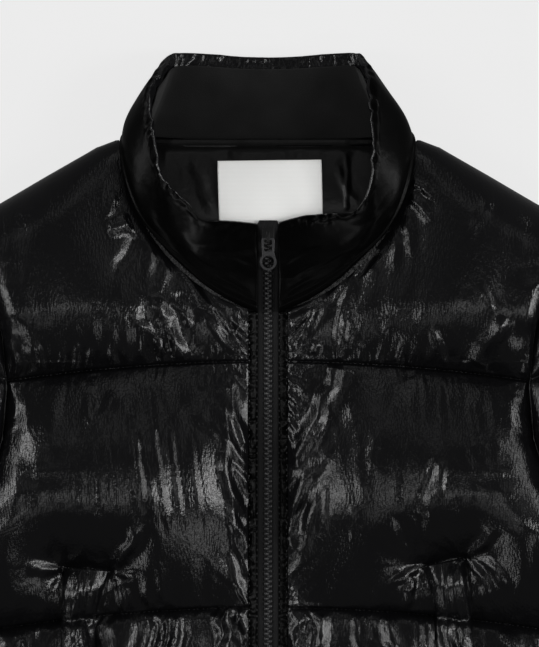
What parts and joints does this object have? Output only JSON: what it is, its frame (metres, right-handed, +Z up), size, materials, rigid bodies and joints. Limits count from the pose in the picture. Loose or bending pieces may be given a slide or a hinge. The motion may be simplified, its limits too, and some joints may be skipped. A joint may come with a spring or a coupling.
{
  "type": "puffer jacket",
  "caption": "Quilted puffer jacket with a padded stand collar and a full front zip, zipped up and laid flat on its back.",
  "frame": {"origin": "centre of the jacket's footprint on the surface it lies on", "axes": "+X across the jacket from its right sleeve to its left, +Y from hem to collar, +Z up out of the front"},
  "size_m": [1.0912, 0.7205, 0.091],
  "materials": {
    "shell_nylon": "glossy crinkled black nylon",
    "collar_facing": "matte brushed black tricot",
    "lining": "soft-sheen black taffeta",
    "label": "plain white satin weave",
    "zip_tape": "matte black woven polyester",
    "zip_teeth": "moulded black acetal, semi-matte",
    "zip_pull": "dark grey enamelled die-cast zinc"
  },
  "bodies": {
    "jacket": {"back_panel": "shell_nylon", "front_left": "shell_nylon", "front_right": "shell_nylon", "sleeve_upper_left": "shell_nylon", "sleeve_upper_right": "shell_nylon", "sleeve_under_left": "shell_nylon", "sleeve_under_right": "shell_nylon", "cuff_left": "shell_nylon", "cuff_right": "shell_nylon", "collar": "shell_nylon", "collar_facing": "collar_facing", "neck_lining": "lining", "neck_label": "label", "edge_strip_left": "shell_nylon", "edge_strip_right": "shell_nylon", "pocket_welt_left": "shell_nylon", "pocket_welt_right": "shell_nylon", "zip_tape_left": "zip_tape", "zip_tape_right": "zip_tape", "zip_chain": "zip_teeth", "zip_box": "zip_teeth", "zip_slider": "zip_pull"},
    "pull_tab": {"zip_pull": "zip_pull"}
  },
  "joints": [
    {"name": "pull_hinge", "type": "hinge", "parent": "jacket", "child": "pull_tab", "pos_m": [0, 0.21895, 0.0526], "axis": [-1, 0, 0], "range_deg": [0, 150]}
  ]
}
